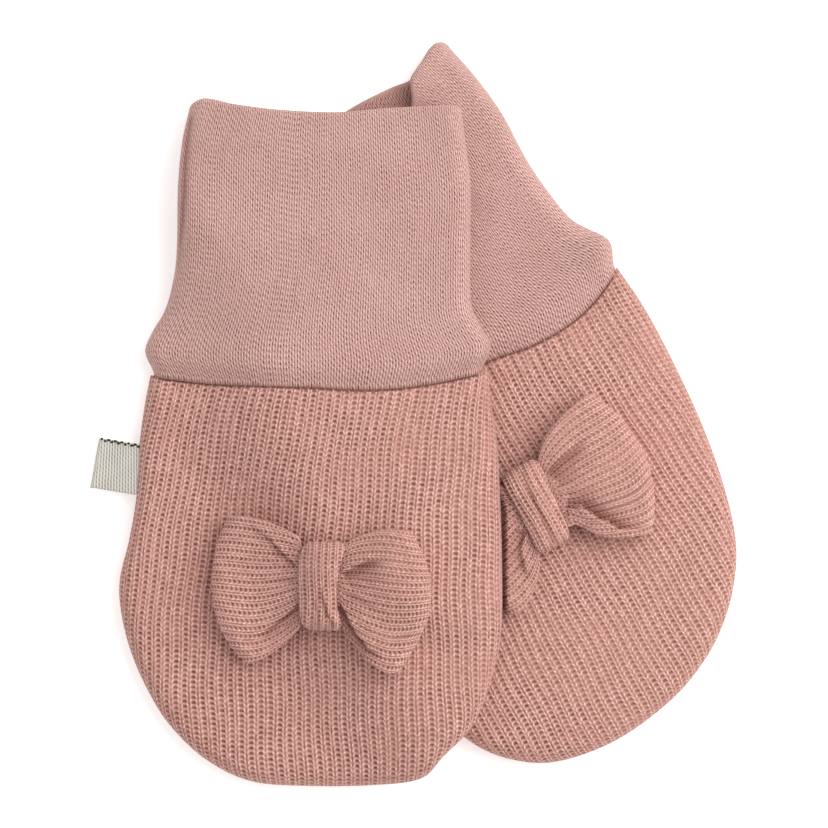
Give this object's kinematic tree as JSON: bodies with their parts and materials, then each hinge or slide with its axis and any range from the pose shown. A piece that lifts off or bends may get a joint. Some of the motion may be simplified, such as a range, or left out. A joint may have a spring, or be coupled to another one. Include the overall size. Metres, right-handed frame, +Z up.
{
  "type": "pair of baby mittens",
  "caption": "Thumbless knitted baby mittens laid flat, one over the other, each with a waffle-knit body, a double folded cuff and a knotted bow.",
  "frame": {"origin": "on the table under the middle of the pair", "axes": "+Y along the upright mitten from its fingertips to its cuff, +X to its right as seen from above, +Z up from the table"},
  "size_m": [0.1263, 0.145, 0.0245],
  "materials": {
    "waffle_knit": "matt dusty pink cotton waffle knit with upright ribs",
    "cuff_knit": "matt dusty pink cotton interlock knit, fine and smooth",
    "label_tape": "off-white woven tape with a dark selvage thread, bare of lettering"
  },
  "bodies": {
    "root": {"lower_body_front": "waffle_knit", "lower_body_back": "waffle_knit", "lower_cuff": "cuff_knit", "lower_bow": "waffle_knit", "lower_bow_band": "waffle_knit", "upper_body_front": "waffle_knit", "upper_body_back": "waffle_knit", "upper_cuff": "cuff_knit", "upper_bow": "waffle_knit", "upper_bow_band": "waffle_knit", "upper_label": "label_tape"}
  },
  "joints": []
}
